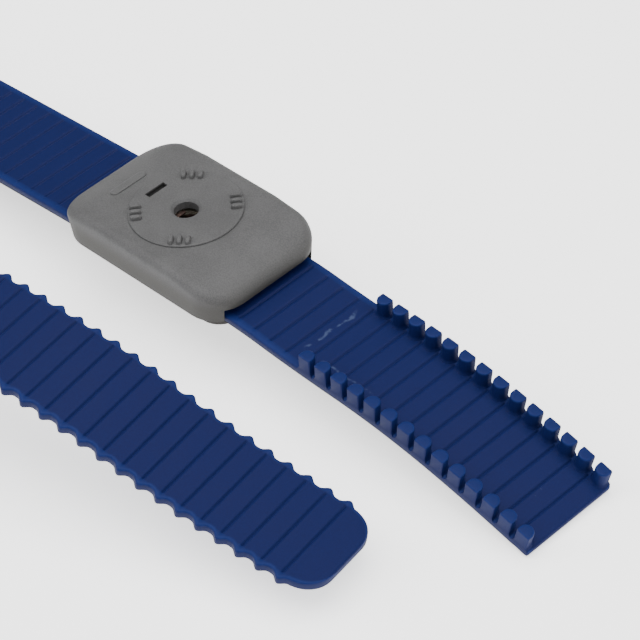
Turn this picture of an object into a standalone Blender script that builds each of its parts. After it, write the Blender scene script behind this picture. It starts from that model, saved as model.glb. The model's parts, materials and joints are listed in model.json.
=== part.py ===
"""ESD wrist strap: a grey socket housing on a blue moulded band with a post clasp.

The housing carries the socket for a ground cord.  One band end runs from the housing to
the clasp, two rows of small posts.  The other runs round and ends in the scalloped tail,
whose edges drop between the posts when the strap is closed.  A black conductive liner
backs the bands where they touch the skin, and rivets join it to contacts in the housing.

The bands are flexible, so each is cut into stretches that meet at a round end on a hinge
axis.  A band is modelled flat, with x along it, y across it and z out of its outer face,
and is then laid along its route.

Metres, +Z up, standing on z = 0.
"""

import math

import bmesh
import bpy
import numpy as np

MM = 0.001

# --- driving dimensions, in millimetres and degrees -----------------------------------

CLEAR = 0.3                  # gap between pieces that touch

HOUSING_AT = (6.84, 20.14, 18.01) # middle of the socket face, in the part's frame

BAND_WIDTH = 19.0

COVER_LENGTH = 40.0          # under its rounded top edge
COVER_WIDTH = BAND_WIDTH + 2 * 3.1      # under its rounded top edge
COVER_DEPTH = 7.25           # foot to flat top
COVER_LEAN = 0.3             # how far each wall leans in on its way down
COVER_CORNER = 6.1
COVER_EDGE = 1.4
COVER_WALL = 1.5
COVER_ROOF = 1.5
CROWN_START = 8.4            # the top is flat out to here, then curves down
CROWN_RADIUS = 25.4
END_OPENING_TOP = -5.1       # upper edge of the openings that the bands leave by

FACE_DIAMETER = 19.4         # the raised round face that the cord's plug sits on
FACE_HEIGHT = 0.35
SOCKET_BORE = 4.2
SOCKET_CHAMFER = 0.45
KEY_SLOT = (1.15, 4.1)       # along and across the band
KEY_SLOT_X = -7.3

RIB_SIZE = (2.0, 0.85, 0.75)      # radial length, width, height above the face
RIB_PITCH = 1.42
RIB_RADIUS = 8.35            # middle of each rib group
RIB_ANGLE = 50.0             # of a group, from the band's length
RIBS_IN_GROUP = 3

BASE_LENGTH = 36.0
BASE_WIDTH = BAND_WIDTH + 2 * 0.9
BASE_THICKNESS = 0.8
BASE_CORNER = 4.0
BASE_RAIL = (26.0, 0.9, 1.7)      # length, width and height of a locating rail

BAND_THICKNESS = 1.3
BAND_TOP = -6.6              # outer face of the band, below the socket face
BAND_INNER_END = 6.5         # how far the band stops from the middle of the housing
BAND_FREE_FROM = 17.0        # from here outwards the band may bend
BAND_CHAMFER = 0.45
BAND_MARGIN = 1.4            # plain strip along each edge
LINER_GAP = 0.3
LINER_THICKNESS = 0.35
LINER_INSET = 0.35           # liner edge inside the band edge

GROOVE_WIDTH = 0.6
GROOVE_DEPTH = 0.2

POST_PITCH = 3.57
POST_COUNT = 14
POST_FIRST = 18.4            # start of the first post, from where the band is free
POST_LENGTH = 2.4
POST_DEPTH = 2.1             # across the band
POST_HEIGHT = 3.2
POST_ROOT_SHARE = 0.9        # foot size over top size
POST_INSET = 0.05
CLASP_LENGTH = 67.9
CLASP_LINER_STOP = 2.5       # liner ends this far before the band

TAIL_LENGTH = 268.6
TAIL_THICKNESS = 1.6
TAIL_WIDTH = BAND_WIDTH + 0.1           # tip to tip
SCALLOP_PITCH = 3.78
SCALLOP_DEPTH = 0.95
SCALLOP_TIPS = 22
SCALLOP_LAST = 262.4         # last tip, from where the band is free
TAIL_CORNER = 5.0

# Routes: stretches of (length, bend, twist, veer).  A bend turns the band away from its
# outer face, a twist turns it about its own length, a veer turns it in its own plane.
CLASP_ROUTE = (
    (8.0, 6.3, 0.0, 0.0),
    (17.0, -3.6, 0.0, 0.0),
    (22.0, 9.8, 0.0, 0.0),
    (25.0, 6.6, 0.0, 0.0),
)
TAIL_ROUTE = (
    (6.0, 3.0, 0.0, 0.0),
    (38.0, 0.0, 0.0, 0.0),
    (22.0, -9.95, 80.27, 0.0),
    (28.3, 134.6, 29.3, 0.0),
    (72.0, 57.2, -34.5, 0.0),
    (22.0, 7.4, -56.46, 0.0),
    (6.1, 0.34, 0.07, 0.0),
    (16.0, 5.1, -0.9, 1.1),
    (18.0, 10.5, -0.9, 1.1),
    (18.0, -6.5, -0.9, -0.3),
    (24.0, -3.6, -0.9, -0.3),
)
ROUTE_STEP = 0.5
TWIST_LIMIT = 20.0           # a stretch that twists more than this gets more columns
TWISTED_COLUMNS = 6

# Hinge axes that stand for the band's bending, along each route.
CLASP_HINGES = (9.0, 42.8)
TAIL_HINGES = (9.0, 70.0, 118.0, 176.0, 220.8)
LINER_HINGE_GAP = 0.75       # liner stops this far from a hinge axis

BARREL_DIAMETER = 9.0
BARREL_BORE = 5.7
BARREL_TOP = -3.2
SLEEVE_DIAMETER = 5.1
SLEEVE_BORE = 4.3
SLEEVE_HEIGHT = 4.2

PLATE_THICKNESS = 0.4
PLATE_WIDTH = 16.0
PLATE_OUTER_END = 14.0
TONGUE_WIDTH = 2.0
LEAF_WIDTH = 0.8
LEAF_THICKNESS = 0.3
LEAF_X = -1.7                # middle of the leaf, seen through the socket's mouth
LEAF_TIP = 0.9
LEAF_FOOT = -6.6

RIVET_X = 10.5
RIVET_Y = 5.0
RIVET_SHAFT = 2.0
RIVET_HEAD = 3.6
RIVET_HEAD_HEIGHT = 0.5

# --- sizes that follow ----------------------------------------------------------------

COVER_TOP = -FACE_HEIGHT
COVER_FOOT = COVER_TOP - COVER_DEPTH
ROOF_UNDER = COVER_TOP - COVER_ROOF
BAND_UNDER = BAND_TOP - BAND_THICKNESS
LINER_TOP = BAND_UNDER - LINER_GAP
LINER_UNDER = LINER_TOP - LINER_THICKNESS
BASE_TOP = LINER_UNDER - CLEAR
BASE_UNDER = BASE_TOP - BASE_THICKNESS
PLATE_UNDER = BAND_TOP + CLEAR
PLATE_TOP = PLATE_UNDER + PLATE_THICKNESS
RIVET_HOLE = RIVET_SHAFT + 2 * CLEAR
RIVET_HEAD_UNDER = PLATE_TOP + CLEAR
SCALLOP_FIRST = SCALLOP_LAST - (SCALLOP_TIPS - 1) * SCALLOP_PITCH
PLAIN_STOP = SCALLOP_FIRST - SCALLOP_PITCH / 2

BLUE = (0.016, 0.034, 0.135)
BLACK = (0.012, 0.012, 0.014)
GREY = (0.19, 0.188, 0.185)
DARK_GREY = (0.10, 0.095, 0.09)
IVORY = (0.55, 0.52, 0.44)
COPPER = (0.55, 0.26, 0.13)
NICKEL = (0.60, 0.58, 0.54)


# --- scene and small helpers ----------------------------------------------------------

def clear_scene():
    """Remove whatever the file holds before the part is built."""
    for thing in list(bpy.data.objects):
        bpy.data.objects.remove(thing, do_unlink=True)


def collection(name):
    """A new collection linked to the scene."""
    group = bpy.data.collections.new(name)
    bpy.context.scene.collection.children.link(group)
    return group


def material(name, colour, roughness, metallic=0.0):
    """A Principled BSDF material."""
    mat = bpy.data.materials.new(name)
    mat.use_nodes = True
    shader = mat.node_tree.nodes["Principled BSDF"]
    shader.inputs["Base Color"].default_value = (*colour, 1.0)
    shader.inputs["Roughness"].default_value = roughness
    shader.inputs["Metallic"].default_value = metallic
    mat.diffuse_color = (*colour, 1.0)
    return mat


def add_mesh(name, mesh, group, mat=None):
    """Put a mesh into a collection as a new object."""
    thing = bpy.data.objects.new(name, mesh)
    group.objects.link(thing)
    if mat is not None:
        mesh.materials.append(mat)
    return thing


def add_bmesh(name, bm, group, mat=None):
    """Turn a finished bmesh into an object."""
    bmesh.ops.recalc_face_normals(bm, faces=bm.faces)
    mesh = bpy.data.meshes.new(name)
    bm.to_mesh(mesh)
    bm.free()
    return add_mesh(name, mesh, group, mat)


def as_cutter(thing):
    """Mark an object as a tool that shapes others and isn't a part itself."""
    thing.hide_render = True
    thing.display_type = 'WIRE'
    return thing


def boolean(target, tool, operation):
    """Join, cut or keep the common part of a target with a tool."""
    mod = target.modifiers.new(operation.title(), 'BOOLEAN')
    mod.operation = operation
    mod.solver = 'EXACT'
    mod.object = tool


def smooth(thing, angle=35.0):
    """Smooth shading with sharp edges above an angle."""
    thing.data.shade_smooth()
    thing.data.set_sharp_from_angle(angle=math.radians(angle))


def box_bmesh(x0, x1, y0, y1, z0, z1):
    """A box between two corners, in millimetres."""
    bm = bmesh.new()
    bmesh.ops.create_cube(bm, size=1.0)
    size = (x1 - x0, y1 - y0, z1 - z0)
    middle = ((x0 + x1) / 2, (y0 + y1) / 2, (z0 + z1) / 2)
    bmesh.ops.scale(bm, vec=size, verts=bm.verts)
    bmesh.ops.translate(bm, vec=middle, verts=bm.verts)
    bmesh.ops.scale(bm, vec=(MM, MM, MM), verts=bm.verts)
    return bm


def upright_edges(bm):
    """The edges of a box that run mostly along z."""
    found = []
    for edge in bm.edges:
        along = edge.verts[1].co - edge.verts[0].co
        if abs(along.z) > max(abs(along.x), abs(along.y)):
            found.append(edge)
    return found


def rounded_block(half_x, half_y, z0, z1, corner):
    """A block with round upright corners."""
    bm = box_bmesh(-half_x, half_x, -half_y, half_y, z0, z1)
    bmesh.ops.bevel(bm, geom=upright_edges(bm), offset=corner * MM, segments=8,
                    profile=0.5, affect='EDGES')
    return bm


def crown_drop(x):
    """How far the cover's top has curved down at a distance from its middle."""
    past = np.maximum(np.abs(x) - CROWN_START, 0.0)
    return CROWN_RADIUS - np.sqrt(CROWN_RADIUS ** 2 - past ** 2)


def ring_points(half_x, half_y, corner, z):
    """A rounded rectangle round the middle, with as many points at any size."""
    angles = np.radians(np.concatenate([np.linspace(q, q + 90.0, 8)
                                        for q in (0.0, 90.0, 180.0, 270.0)]))
    away_x = np.repeat([1.0, -1.0, -1.0, 1.0], 8) * (half_x - corner)
    away_y = np.repeat([1.0, 1.0, -1.0, -1.0], 8) * (half_y - corner)
    x = away_x + corner * np.cos(angles)
    return np.column_stack([x, away_y + corner * np.sin(angles),
                            z - crown_drop(x) * (z > COVER_FOOT)])


def crowned_block(half_x, half_y, foot, top, corner, edge, lean):
    """A loft: walls that lean in downwards, a round top edge and a crowned top."""
    rings = [ring_points(half_x - lean, half_y - lean, corner, foot)]
    for angle in np.radians([0.0, 22.5, 45.0, 67.5, 90.0]):
        inset = edge * (1.0 - math.cos(angle))
        rings.append(ring_points(half_x - inset, half_y - inset,
                                 corner - inset * 0.5, top - edge * (1 - math.sin(angle))))
    reach = half_x - edge
    for share in (0.25, 0.5, 0.75, 1.0):
        near = reach + (CROWN_START - 0.2 - reach) * share
        rings.append(ring_points(near, half_y - edge - share, corner - edge, top))
    count = len(rings[0])
    bm = bmesh.new()
    verts = [[bm.verts.new([value * MM for value in point]) for point in ring]
             for ring in rings]
    for lower, upper in zip(verts[:-1], verts[1:]):
        for j in range(count):
            k = (j + 1) % count
            bm.faces.new((lower[j], lower[k], upper[k], upper[j]))
    bm.faces.new(verts[0][::-1])
    bm.faces.new(verts[-1])
    sides = [face for face in bm.faces if len(face.verts) == 4]
    bmesh.ops.triangulate(bm, faces=sides)
    return bm


def cylinder_bmesh(diameter, z0, z1, at=(0.0, 0.0), segments=32, top_diameter=None):
    """An upright cylinder or cone, in millimetres."""
    bm = bmesh.new()
    wide = diameter / 2 * MM
    upper = wide if top_diameter is None else top_diameter / 2 * MM
    bmesh.ops.create_cone(bm, cap_ends=True, segments=segments, radius1=wide,
                          radius2=upper, depth=(z1 - z0) * MM)
    bmesh.ops.translate(bm, vec=(at[0] * MM, at[1] * MM, (z0 + z1) / 2 * MM),
                        verts=bm.verts)
    return bm


def merge_bmeshes(pieces):
    """Several bmeshes in one, still as separate bodies, for use as one cutter."""
    whole = bmesh.new()
    for piece in pieces:
        mesh = bpy.data.meshes.new("piece")
        bmesh.ops.recalc_face_normals(piece, faces=piece.faces)
        piece.to_mesh(mesh)
        piece.free()
        whole.from_mesh(mesh)
        bpy.data.meshes.remove(mesh)
    return whole


def turned(name, profile, group, mat, at, steps=16):
    """A turned piece from (radius, height) points that run down its outer side."""
    mesh = bpy.data.meshes.new(name)
    points = [(radius * MM, 0.0, height * MM) for radius, height in profile]
    edges = [(i, i + 1) for i in range(len(points) - 1)]
    mesh.from_pydata(points, edges, [])
    thing = add_mesh(name, mesh, group, mat)
    thing.location = [value * MM for value in at]
    screw = thing.modifiers.new("Screw", 'SCREW')
    screw.steps = steps
    screw.render_steps = steps
    screw.use_merge_vertices = True
    screw.merge_threshold = 0.00001
    screw.use_smooth_shade = True
    return thing


# --- routes ---------------------------------------------------------------------------

def turn_matrix(vector):
    """The rotation by a vector's length about its direction."""
    angle = float(np.linalg.norm(vector))
    if angle < 1e-12:
        return np.eye(3)
    x, y, z = vector / angle
    cross = np.array([[0.0, -z, y], [z, 0.0, -x], [-y, x, 0.0]])
    return np.eye(3) + math.sin(angle) * cross + (1.0 - math.cos(angle)) * cross @ cross


class Route:
    """The middle line of a band's outer face, with the band's own axes along it.

    The axes are the columns of a matrix: along the band, across it, and out of its
    outer face.  Distances count from where the band becomes free.  Before that, and
    past the last stretch, the band is straight.
    """

    def __init__(self, start, axes, stretches):
        """Walk along the stretches in short steps."""
        self.stretches = stretches
        place = np.array(start, float)
        frame = np.array(axes, float).T
        self.distance = [0.0]
        self.places = [place.copy()]
        self.frames = [frame.copy()]
        for length, bend, twist, veer in stretches:
            count = max(1, round(length / ROUTE_STEP))
            turn = np.radians([twist, bend, veer]) / count
            half = turn_matrix(turn / 2)
            whole = turn_matrix(turn)
            for _ in range(count):
                place = place + length / count * (frame @ half)[:, 0]
                frame = frame @ whole
                self.distance.append(self.distance[-1] + length / count)
                self.places.append(place.copy())
                self.frames.append(frame.copy())
        self.distance = np.array(self.distance)
        self.places = np.array(self.places)
        self.frames = np.array(self.frames)

    def twist_between(self, start, stop):
        """The sum of the twist between two distances, in degrees."""
        total = 0.0
        place = 0.0
        for length, _, twist, _ in self.stretches:
            shared = min(stop, place + length) - max(start, place)
            total += abs(twist) * max(0.0, shared) / length
            place += length
        return total

    def at(self, distance):
        """Places and axes at an array of distances."""
        distance = np.asarray(distance, float)
        inside = np.clip(distance, 0.0, self.distance[-1])
        low = np.clip(np.searchsorted(self.distance, inside) - 1, 0,
                      len(self.distance) - 2)
        span = self.distance[low + 1] - self.distance[low]
        share = ((inside - self.distance[low]) / span)[:, None]
        places = self.places[low] * (1 - share) + self.places[low + 1] * share
        mix = share[:, :, None]
        frames = self.frames[low] * (1 - mix) + self.frames[low + 1] * mix
        frames = frames / np.linalg.norm(frames, axis=1, keepdims=True)
        places = places + frames[:, :, 0] * (distance - inside)[:, None]
        return places, frames

    def lay(self, flat):
        """Carry flat points (along, across, out) onto the route, all in millimetres."""
        places, frames = self.at(flat[:, 0])
        return (places + frames[:, :, 1] * flat[:, 1:2]
                + frames[:, :, 2] * flat[:, 2:3])


# --- bands ----------------------------------------------------------------------------

class Outline:
    """How wide, how thick and how deeply grooved a band is along its length."""

    def __init__(self, thickness, half_width, grooves, top=0.0, inset=0.0, columns=1):
        """Keep the values; half_width is a function of the distance along the band."""
        self.thickness = thickness
        self.half_width = half_width
        self.grooves = grooves
        self.top = top
        self.inset = inset
        self.columns = columns

    def groove_at(self, distance):
        """Depth of the nearest groove at a distance."""
        if len(self.grooves) == 0:
            return 0.0
        away = np.min(np.abs(self.grooves - distance))
        return GROOVE_DEPTH * max(0.0, 1.0 - away / (GROOVE_WIDTH / 2))


def section(outline, distance, top, under):
    """One cross-section of a band as points (across, out)."""
    half = outline.half_width(distance) - outline.inset
    thick = top - under
    chamfer = min(BAND_CHAMFER, thick / 3)
    inner = min(BAND_WIDTH / 2 - BAND_MARGIN, half - chamfer - 0.2)
    shoulder = inner + min(0.15, (half - chamfer - inner) / 2)
    floor = top - min(outline.groove_at(distance), thick / 3)
    right = [(inner, floor), (shoulder, top), (half - chamfer, top),
             (half, top - chamfer), (half, under)]
    left = [(-across, out) for across, out in reversed(right)]
    shares = [2 * i / outline.columns - 1 for i in range(1, outline.columns)]
    floor_line = [(inner * share, floor) for share in shares]
    under_line = [(-half * share, under) for share in shares]
    return left + floor_line + right + under_line


def strip_rows(outline, start, stop, spacing, round_stop):
    """Distances at which a stretch of band is given a cross-section."""
    rows = list(np.linspace(start, stop, max(2, math.ceil((stop - start) / spacing) + 1)))
    for groove in outline.grooves:
        for side in (-0.5, 0.0, 0.5):
            rows.append(groove + side * GROOVE_WIDTH)
    rows = [row for row in rows if start <= row <= stop]
    rows.sort()
    kept = [rows[0]]
    for row in rows[1:]:
        if row - kept[-1] > 0.12:
            kept.append(row)
    kept[-1] = stop
    if round_stop:
        radius = outline.thickness / 2
        for angle in (20.0, 40.0, 60.0, 78.0):
            kept.append(stop + radius * math.sin(math.radians(angle)))
    return kept


def flat_strip(outline, start, stop, spacing, round_stop):
    """A closed flat stretch of band; a round stop is centred on its hinge axis."""
    middle = outline.top - outline.thickness / 2
    rings = []
    for row in strip_rows(outline, start, stop, spacing, round_stop):
        past = max(0.0, row - stop)
        half_thick = math.sqrt((outline.thickness / 2) ** 2 - past ** 2)
        ring = section(outline, min(row, stop), middle + half_thick, middle - half_thick)
        rings.append([(row, across, out) for across, out in ring])
    count = len(rings[0])
    points = [point for ring in rings for point in ring]
    faces = []
    for i in range(len(rings) - 1):
        for j in range(count):
            k = (j + 1) % count
            faces.append((i * count + j, (i + 1) * count + j, (i + 1) * count + k,
                          i * count + k))
    faces.append(tuple(range(count)))
    faces.append(tuple(range((len(rings) - 1) * count, len(rings) * count))[::-1])
    mesh = bpy.data.meshes.new("flat strip")
    mesh.from_pydata([tuple(value * MM for value in point) for point in points], [],
                     faces)
    bm = bmesh.new()
    bm.from_mesh(mesh)
    bpy.data.meshes.remove(mesh)
    return bm


def lay_on_route(name, flat, route, group, mat):
    """Evaluate a flat object, triangulate it and carry it onto its route."""
    graph = bpy.context.evaluated_depsgraph_get()
    graph.update()
    mesh = bpy.data.meshes.new_from_object(flat.evaluated_get(graph))
    mesh.name = name
    bm = bmesh.new()
    bm.from_mesh(mesh)
    bmesh.ops.triangulate(bm, faces=bm.faces)
    bm.to_mesh(mesh)
    bm.free()
    points = np.empty(len(mesh.vertices) * 3, np.float32)
    mesh.vertices.foreach_get("co", points)
    laid = route.lay(points.reshape(-1, 3).astype(float) / MM) * MM
    mesh.vertices.foreach_set("co", laid.astype(np.float32).ravel())
    mesh.update()
    mesh.materials.clear()
    thing = add_mesh(name, mesh, group, mat)
    smooth(thing)
    return thing


def post_bmesh(start, side):
    """One clasp post: flat on the band's edge and half round towards its middle."""
    radius = POST_LENGTH / 2
    outline = [(-radius, 0.0), (radius, 0.0)]
    straight = POST_DEPTH - radius
    for step in range(9):
        angle = math.pi * step / 8
        outline.append((radius * math.cos(angle), -straight - radius * math.sin(angle)))
    bm = bmesh.new()
    rings = []
    for height, share in ((-BAND_THICKNESS / 2, POST_ROOT_SHARE), (POST_HEIGHT, 1.0)):
        ring = []
        for along, across in outline:
            x = start + radius + along * share
            y = side * (BAND_WIDTH / 2 - POST_INSET + across * share)
            ring.append(bm.verts.new((x * MM, y * MM, height * MM)))
        rings.append(ring)
    count = len(outline)
    for j in range(count):
        k = (j + 1) % count
        bm.faces.new((rings[0][j], rings[0][k], rings[1][k], rings[1][j]))
    bm.faces.new(rings[0][::-1])
    bm.faces.new(rings[1])
    return bm


def post_starts(start, stop):
    """Starts of the posts that stand between two distances."""
    starts = [POST_FIRST + i * POST_PITCH for i in range(POST_COUNT)]
    return [value for value in starts if start < value + POST_LENGTH / 2 < stop]


def band_half_width(_distance):
    """The plain band has one width all along."""
    return BAND_WIDTH / 2


def tail_half_width(distance):
    """Scallops: hollow arcs that fit a post, between rounded tips, and a round end."""
    tip = TAIL_WIDTH / 2
    if distance < PLAIN_STOP:
        return BAND_WIDTH / 2
    if distance <= SCALLOP_LAST + SCALLOP_PITCH / 2:
        half_pitch = SCALLOP_PITCH / 2
        phase = (distance - SCALLOP_FIRST) % SCALLOP_PITCH
        from_hollow = min(abs(phase - half_pitch), half_pitch)
        radius = (half_pitch ** 2 + SCALLOP_DEPTH ** 2) / (2 * SCALLOP_DEPTH)
        rise = radius - math.sqrt(radius ** 2 - from_hollow ** 2)
        return tip - SCALLOP_DEPTH + min(rise, SCALLOP_DEPTH * 0.93)
    plain = tip - SCALLOP_DEPTH
    into_corner = max(0.0, distance - (TAIL_LENGTH - TAIL_CORNER))
    into_corner = min(into_corner, TAIL_CORNER)
    return plain - TAIL_CORNER + math.sqrt(TAIL_CORNER ** 2 - into_corner ** 2)


def rivet_holes(z0, z1, sign):
    """Tools for the two rivet holes on one side, along the flat band."""
    holes = []
    for y in (-RIVET_Y, RIVET_Y):
        at = (RIVET_X - BAND_FREE_FROM, y * sign)
        holes.append(cylinder_bmesh(RIVET_HOLE, z0, z1, at, segments=20))
    return merge_bmeshes(holes)


def columns_for(route, start, stop):
    """Columns across a stretch: one if it lies straight, more where it is twisted."""
    return TWISTED_COLUMNS if route.twist_between(start, stop) > TWIST_LIMIT else 1


def stretches_between(start, hinges, stop):
    """Pairs of distances for the stretches between hinge axes."""
    marks = [start, *hinges, stop]
    return list(zip(marks[:-1], marks[1:]))


def make_stretch(name, outline, start, stop, is_first, is_last, route, groups, mat,
                 spacing=7.0, tools=()):
    """One rigid stretch of a band, laid on its route."""
    group, cutters = groups
    begin = start if is_first else start + outline.thickness / 2 + CLEAR
    outline.columns = columns_for(route, begin, stop)
    flat = add_bmesh(name + " flat",
                     flat_strip(outline, begin, stop, spacing, not is_last), cutters)
    as_cutter(flat)
    for tool, operation in tools:
        boolean(flat, tool, operation)
    return lay_on_route(name, flat, route, group, mat)


def make_liner_stretch(name, start, stop, is_first, is_last, route, groups, mat,
                       spacing=3.5, tools=()):
    """The liner under one stretch; it stops short of the hinges."""
    group, cutters = groups
    outline = Outline(LINER_THICKNESS, band_half_width, np.array([]),
                      top=-BAND_THICKNESS - LINER_GAP, inset=LINER_INSET)
    begin = start if is_first else start + LINER_HINGE_GAP
    end = stop if is_last else stop - LINER_HINGE_GAP
    outline.columns = columns_for(route, begin, end)
    flat = add_bmesh(name + " flat", flat_strip(outline, begin, end, spacing, False),
                     cutters)
    as_cutter(flat)
    for tool, operation in tools:
        boolean(flat, tool, operation)
    return lay_on_route(name, flat, route, group, mat)


def plain_grooves(first, last):
    """Grooves at the posts' pitch, in line with the gaps between the posts."""
    offset = POST_FIRST - (POST_PITCH - POST_LENGTH) / 2
    low = math.ceil((first - offset) / POST_PITCH)
    high = math.floor((last - offset) / POST_PITCH)
    return np.array([offset + i * POST_PITCH for i in range(low, high + 1)])


def clasp_side(route, groups, mats):
    """The band and liner from the housing to the clasp's end."""
    cutters = groups[1]
    inner = BAND_INNER_END - BAND_FREE_FROM
    grooves = plain_grooves(3.0, CLASP_LENGTH - 3.0)
    grooves = grooves[np.min(np.abs(grooves[:, None] - np.array(CLASP_HINGES)), axis=1)
                      > POST_PITCH / 3]
    outline = Outline(BAND_THICKNESS, band_half_width, grooves)
    names = ("root", "mid", "end")
    spans = stretches_between(inner, CLASP_HINGES, CLASP_LENGTH)
    liner_spans = stretches_between(inner, CLASP_HINGES, CLASP_LENGTH - CLASP_LINER_STOP)
    for i, (label, span, liner_span) in enumerate(zip(names, spans, liner_spans)):
        tools = []
        liner_tools = []
        if i == 0:
            holes = as_cutter(add_bmesh("clasp band holes",
                                        rivet_holes(-3.0, 1.0, 1), cutters))
            tools.append((holes, 'DIFFERENCE'))
            liner_tools.append((holes, 'DIFFERENCE'))
        starts = post_starts(*span)
        if starts:
            posts = [post_bmesh(value, side) for value in starts for side in (-1, 1)]
            rows = add_bmesh("clasp posts " + label, merge_bmeshes(posts), cutters)
            tools.append((as_cutter(rows), 'UNION'))
        make_stretch("clasp_band_" + label, outline, *span, i == 0, i == len(spans) - 1,
                     route, groups, mats["band"], tools=tools)
        make_liner_stretch("clasp_liner_" + label, *liner_span, i == 0,
                           i == len(spans) - 1, route, groups, mats["liner"],
                           tools=liner_tools)


def tail_side(route, groups, mats):
    """The band and liner from the housing round to the scalloped tail."""
    cutters = groups[1]
    inner = BAND_INNER_END - BAND_FREE_FROM
    plain = plain_grooves(3.0, PLAIN_STOP - 2.0)
    tips = SCALLOP_FIRST + SCALLOP_PITCH * np.arange(SCALLOP_TIPS)
    grooves = np.concatenate([plain, tips])
    grooves = grooves[np.min(np.abs(grooves[:, None] - np.array(TAIL_HINGES)), axis=1)
                      > POST_PITCH / 3]
    thin = Outline(BAND_THICKNESS, tail_half_width, grooves)
    thick = Outline(TAIL_THICKNESS, tail_half_width, grooves)
    names = ("tail_band_root", "tail_band_leg", "tail_band_turn", "tail_band_return",
             "tail_scallops_root", "tail_scallops_end")
    spans = stretches_between(inner, TAIL_HINGES, TAIL_LENGTH)
    for i, (name, span) in enumerate(zip(names, spans)):
        scalloped = span[0] >= TAIL_HINGES[3]
        tools = []
        if i == 0:
            holes = as_cutter(add_bmesh("tail band holes",
                                        rivet_holes(-3.0, 1.0, -1), cutters))
            tools.append((holes, 'DIFFERENCE'))
        make_stretch(name, thick if scalloped else thin, *span, i == 0,
                     i == len(spans) - 1, route, groups, mats["band"],
                     spacing=SCALLOP_PITCH / 4 if scalloped else 7.0, tools=tools)
        if not scalloped:
            make_liner_stretch(name.replace("band", "liner"), *span, i == 0, False,
                               route, groups, mats["liner"], spacing=3.0, tools=tools)


# --- housing --------------------------------------------------------------------------

def rib_groups():
    """Short raised bars that stand in four groups round the socket face."""
    pieces = []
    length, width, height = RIB_SIZE
    middle = (RIBS_IN_GROUP - 1) / 2
    for base in (RIB_ANGLE, 180 - RIB_ANGLE, 180 + RIB_ANGLE, -RIB_ANGLE):
        angle = math.radians(base)
        for i in range(RIBS_IN_GROUP):
            bm = box_bmesh(-length / 2, length / 2, -width / 2, width / 2, -FACE_HEIGHT,
                           height)
            bmesh.ops.bevel(bm, geom=upright_edges(bm), offset=width * 0.4 * MM,
                            segments=2, profile=0.5, affect='EDGES')
            shift = (RIB_RADIUS, (i - middle) * RIB_PITCH)
            for vert in bm.verts:
                x = vert.co.x + shift[0] * MM
                y = vert.co.y + shift[1] * MM
                vert.co.x = x * math.cos(angle) - y * math.sin(angle)
                vert.co.y = x * math.sin(angle) + y * math.cos(angle)
            pieces.append(bm)
    return merge_bmeshes(pieces)


def housing_cover(groups, mats):
    """The moulded cover: a drafted shell with the socket face on top."""
    group, cutters = groups
    half_x = COVER_LENGTH / 2
    half_y = COVER_WIDTH / 2
    cover = add_bmesh("housing_cover",
                      crowned_block(half_x, half_y, COVER_FOOT, COVER_TOP, COVER_CORNER,
                                    COVER_EDGE, COVER_LEAN), group, mats["cover"])
    hollow = crowned_block(half_x - COVER_WALL, half_y - COVER_WALL, COVER_FOOT - 1.0,
                           ROOF_UNDER, COVER_CORNER - COVER_WALL, CLEAR, COVER_LEAN)
    band_way = box_bmesh(-half_x - 2, half_x + 2, -BAND_WIDTH / 2 - CLEAR,
                         BAND_WIDTH / 2 + CLEAR, COVER_FOOT - 2, END_OPENING_TOP)
    face = cylinder_bmesh(FACE_DIAMETER, COVER_TOP - COVER_ROOF / 2, 0.0, segments=64)
    mouth = merge_bmeshes([
        cylinder_bmesh(SOCKET_BORE, ROOF_UNDER - 1, 1.0, segments=32),
    ])
    chamfer = cylinder_bmesh(SOCKET_BORE, -SOCKET_CHAMFER, SOCKET_CHAMFER, segments=32,
                             top_diameter=SOCKET_BORE + 4 * SOCKET_CHAMFER)
    along, across = KEY_SLOT
    slot = box_bmesh(KEY_SLOT_X - along / 2, KEY_SLOT_X + along / 2, -across / 2,
                     across / 2, ROOF_UNDER - 1, 1.0)
    tools = (("cover hollow", hollow, 'DIFFERENCE'),
             ("band way", band_way, 'DIFFERENCE'),
             ("socket face", face, 'UNION'),
             ("face ribs", rib_groups(), 'UNION'),
             ("socket mouth", mouth, 'DIFFERENCE'),
             ("mouth chamfer", chamfer, 'DIFFERENCE'),
             ("key slot", slot, 'DIFFERENCE'))
    for name, bm, operation in tools:
        boolean(cover, as_cutter(add_bmesh(name, bm, cutters)), operation)
    smooth(cover)
    return cover


def housing_base(groups, mats):
    """The plate against the wrist side, with rails that locate it in the cover."""
    group, cutters = groups
    base = add_bmesh("housing_base",
                     rounded_block(BASE_LENGTH / 2, BASE_WIDTH / 2, BASE_UNDER, BASE_TOP,
                                   BASE_CORNER), group, mats["base"])
    length, width, height = BASE_RAIL
    inner = BAND_WIDTH / 2 + CLEAR
    rails = merge_bmeshes([
        box_bmesh(-length / 2, length / 2, inner, inner + width,
                  BASE_TOP - BASE_THICKNESS / 2, BASE_TOP + height),
        box_bmesh(-length / 2, length / 2, -inner - width, -inner,
                  BASE_TOP - BASE_THICKNESS / 2, BASE_TOP + height),
    ])
    boolean(base, as_cutter(add_bmesh("base rails", rails, cutters)), 'UNION')
    holes = []
    for x in (-RIVET_X, RIVET_X):
        for y in (-RIVET_Y, RIVET_Y):
            holes.append(cylinder_bmesh(RIVET_HEAD + 2 * CLEAR, BASE_UNDER - 1,
                                        BASE_TOP + 1, (x, y), segments=24))
    boolean(base, as_cutter(add_bmesh("base holes", merge_bmeshes(holes), cutters)),
            'DIFFERENCE')
    smooth(base)
    return base


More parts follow.
